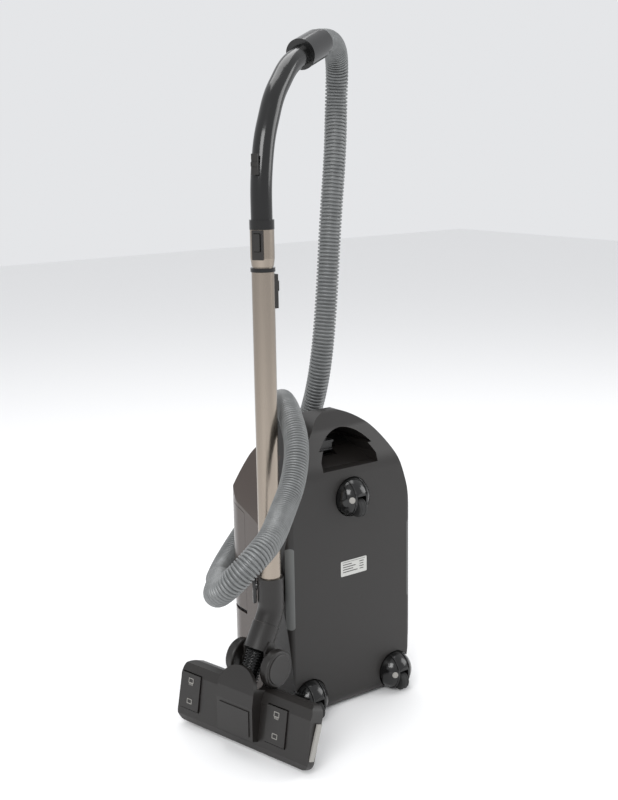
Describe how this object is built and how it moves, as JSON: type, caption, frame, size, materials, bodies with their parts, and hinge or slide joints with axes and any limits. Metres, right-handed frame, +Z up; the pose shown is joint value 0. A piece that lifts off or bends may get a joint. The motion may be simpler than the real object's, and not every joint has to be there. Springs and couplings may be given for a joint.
{
  "type": "canister vacuum cleaner",
  "caption": "Canister vacuum cleaner stood on end with its steel tube and floor head parked at its side and a ribbed hose looping to a bowed grip.",
  "frame": {"origin": "middle of the canister's rear end, on the floor it stands on", "axes": "+Z up along the parked tube, base plate facing -Y, parked tube at -X"},
  "size_m": [0.5007, 0.4782, 1.0999],
  "materials": {
    "black_plastic": "fine moulded texture",
    "gloss_black": "polished",
    "brown_paint": "metallic satin lacquer",
    "grey_strip": "soft matt",
    "silver_hose": "silver pigmented vinyl",
    "steel": "brushed along the tube",
    "label": "silver film",
    "paper": "fleece",
    "inner_grey": "plain",
    "white_plastic": "plain",
    "board_green": "lacquered",
    "bristle": "bristles",
    "tyre": "soft tread"
  },
  "bodies": {
    "canister": {"base_housing": "black_plastic", "upper_housing": "brown_paint", "front_cover": "brown_paint", "engine_bulkhead": "inner_grey", "nose_bulkhead": "inner_grey", "bumper_strips": "grey_strip", "rating_label": "label", "exhaust_grille": "black_plastic", "pedal_guides": "inner_grey", "motor_case": "steel", "exhaust_filter": "paper", "motor_filter": "paper", "reel_axle": "inner_grey", "cord_outlet": "gloss_black", "circuit_board": "board_green", "dust_bag": "paper", "bag_collar": "white_plastic", "hose_socket": "black_plastic", "park_bracket": "black_plastic", "outer_tube": "steel", "tube_ring": "gloss_black", "slide_button_seat": "black_plastic", "elbow": "black_plastic", "suction_hose": "silver_hose"},
    "lid": {"dust_lid": "brown_paint"},
    "lid_lever": {"release_lever": "gloss_black"},
    "power_button": {"power_pedal": "black_plastic"},
    "rewind_button": {"rewind_pedal": "black_plastic"},
    "dial": {"power_dial": "black_plastic"},
    "fan": {"fan_wheel": "steel"},
    "reel": {"cord_reel": "inner_grey"},
    "socket_swivel": {"socket_cuff": "black_plastic"},
    "upper_tube": {"inner_tube": "steel", "tube_collar": "steel", "collar_button_frame": "black_plastic", "grip": "gloss_black", "grip_ring": "gloss_black"},
    "length_button": {"slide_button": "black_plastic"},
    "handle_button": {"collar_button": "black_plastic"},
    "air_slider": {"suction_slider": "black_plastic"},
    "grip_swivel": {"grip_cuff": "gloss_black"},
    "foot_button": {"elbow_button": "gloss_black"},
    "neck": {"neck_pipe": "black_plastic", "neck_bellows": "gloss_black"},
    "head": {"head_shell": "black_plastic", "neck_hood": "black_plastic", "hood_panel": "black_plastic", "sole_plate": "black_plastic", "head_side_strips": "white_plastic"},
    "brush": {"brush_strips": "bristle"},
    "head_wheel_l": {"head_wheel_left": "black_plastic"},
    "head_wheel_r": {"head_wheel_right": "black_plastic"},
    "pedal_l": {"rocker_pedal_left": "black_plastic"},
    "pedal_r": {"rocker_pedal_right": "black_plastic"},
    "caster_top": {"caster_dome_top": "gloss_black"},
    "caster_roller_top": {"caster_wheel_top": "tyre"},
    "caster_left": {"caster_dome_left": "gloss_black"},
    "caster_roller_left": {"caster_wheel_left": "tyre"},
    "caster_right": {"caster_dome_right": "gloss_black"},
    "caster_roller_right": {"caster_wheel_right": "tyre"}
  },
  "joints": [
    {"name": "lid_hinge", "type": "hinge", "parent": "canister", "child": "lid", "pos_m": [0, 0.107, 0.156], "axis": [-1, 0, 0], "range_deg": [0, 75]},
    {"name": "lid_lever_tilt", "type": "hinge", "parent": "canister", "child": "lid_lever", "pos_m": [-0.01, -0.025, 0.426], "axis": [1, 0, 0], "range_deg": [0, 8], "stiffness_Nm_per_rad": 0.4, "springref_deg": -5.73},
    {"name": "power_button_press", "type": "slide", "parent": "canister", "child": "power_button", "axis": [0, -1, 0], "range_m": [0, 0.004], "stiffness_N_per_m": 200, "springref_m": -0.002},
    {"name": "rewind_button_press", "type": "slide", "parent": "canister", "child": "rewind_button", "axis": [0, -1, 0], "range_m": [0, 0.004], "stiffness_N_per_m": 200, "springref_m": -0.002},
    {"name": "dial_turn", "type": "hinge", "parent": "canister", "child": "dial", "pos_m": [0, 0.115, 0.113], "axis": [0, 1, 0], "range_deg": [-135, 135]},
    {"name": "fan_spin", "type": "hinge", "parent": "canister", "child": "fan", "pos_m": [-0.062, -0.03, 0.078], "axis": [0, 1, 0], "continuous": true},
    {"name": "reel_spin", "type": "hinge", "parent": "canister", "child": "reel", "pos_m": [0.062, -0.03, 0.078], "axis": [0, 1, 0], "continuous": true},
    {"name": "socket_swivel_spin", "type": "hinge", "parent": "canister", "child": "socket_swivel", "pos_m": [-0.02, 0.068, 0.4], "axis": [0, 0.9285, 0.3712], "continuous": true, "deforming": ["suction_hose"]},
    {"name": "tube_length", "type": "slide", "parent": "canister", "child": "upper_tube", "axis": [0, 0, 1], "range_m": [0, 0.3]},
    {"name": "length_button_slide", "type": "slide", "parent": "canister", "child": "length_button", "axis": [0, 0, -1], "range_m": [0, 0.008], "stiffness_N_per_m": 120, "springref_m": -0.004},
    {"name": "handle_button_press", "type": "slide", "parent": "upper_tube", "child": "handle_button", "axis": [0.8211, 0.5708, 0], "range_m": [0, 0.0009], "stiffness_N_per_m": 200, "springref_m": -0.002},
    {"name": "air_slider_slide", "type": "slide", "parent": "upper_tube", "child": "air_slider", "axis": [0, 0, 1], "range_m": [0, 0.012]},
    {"name": "grip_swivel_spin", "type": "hinge", "parent": "upper_tube", "child": "grip_swivel", "pos_m": [0.0153, 0.00939, 1.071], "axis": [0.8403, 0.4658, 0.2775], "continuous": true},
    {"name": "foot_button_press", "type": "slide", "parent": "canister", "child": "foot_button", "axis": [0.8, -0.6, 0], "range_m": [0, 0.0005], "stiffness_N_per_m": 300, "springref_m": -0.001},
    {"name": "neck_swivel", "type": "hinge", "parent": "canister", "child": "neck", "pos_m": [-0.164, -0.09, 0.207], "axis": [0.4972, 0.1093, 0.8607], "range_deg": [-10, 10]},
    {"name": "head_tilt", "type": "hinge", "parent": "neck", "child": "head", "pos_m": [-0.19518, -0.09685, 0.12945], "axis": [-0.2147, 0.9767, 0], "range_deg": [0, 45], "deforming": ["neck_bellows"]},
    {"name": "head_wheel_l_spin", "type": "hinge", "parent": "neck", "child": "head_wheel_l", "pos_m": [-0.19518, -0.09685, 0.12945], "axis": [0.2147, -0.9767, 0], "continuous": true},
    {"name": "head_wheel_r_spin", "type": "hinge", "parent": "neck", "child": "head_wheel_r", "pos_m": [-0.19518, -0.09685, 0.12945], "axis": [0.2147, -0.9767, 0], "continuous": true},
    {"name": "pedal_r_rock", "type": "hinge", "parent": "head", "child": "pedal_r", "pos_m": [-0.22465, -0.10333, 0.05641], "axis": [0.2147, -0.9767, 0], "range_deg": [0, 4]},
    {"name": "pedal_l_rock", "type": "hinge", "parent": "head", "child": "pedal_l", "pos_m": [-0.22465, -0.10333, 0.05641], "axis": [0.2147, -0.9767, 0], "range_deg": [0, 4]},
    {"name": "brush_lift", "type": "slide", "parent": "head", "child": "brush", "axis": [-0.9118, -0.2005, 0.3584], "range_m": [0, 0.003]},
    {"name": "caster_top_swivel", "type": "hinge", "parent": "canister", "child": "caster_top", "pos_m": [0, -0.09, 0.36], "axis": [0, 1, 0], "continuous": true},
    {"name": "caster_top_roll", "type": "hinge", "parent": "caster_top", "child": "caster_roller_top", "pos_m": [0, -0.1062, 0.346], "axis": [1, 0, 0], "continuous": true},
    {"name": "caster_left_swivel", "type": "hinge", "parent": "canister", "child": "caster_left", "pos_m": [-0.09, -0.09, 0.033], "axis": [0, 1, 0], "continuous": true},
    {"name": "caster_left_roll", "type": "hinge", "parent": "caster_left", "child": "caster_roller_left", "pos_m": [-0.09, -0.1062, 0.019], "axis": [1, 0, 0], "continuous": true},
    {"name": "caster_right_swivel", "type": "hinge", "parent": "canister", "child": "caster_right", "pos_m": [0.09, -0.09, 0.033], "axis": [0, 1, 0], "continuous": true},
    {"name": "caster_right_roll", "type": "hinge", "parent": "caster_right", "child": "caster_roller_right", "pos_m": [0.09, -0.1062, 0.019], "axis": [1, 0, 0], "continuous": true}
  ],
  "couplings": [
    {"joint": "pedal_l_rock", "follows": "pedal_r_rock", "ratio": 1},
    {"joint": "brush_lift", "follows": "pedal_r_rock", "m_per_rad": 0.043}
  ]
}
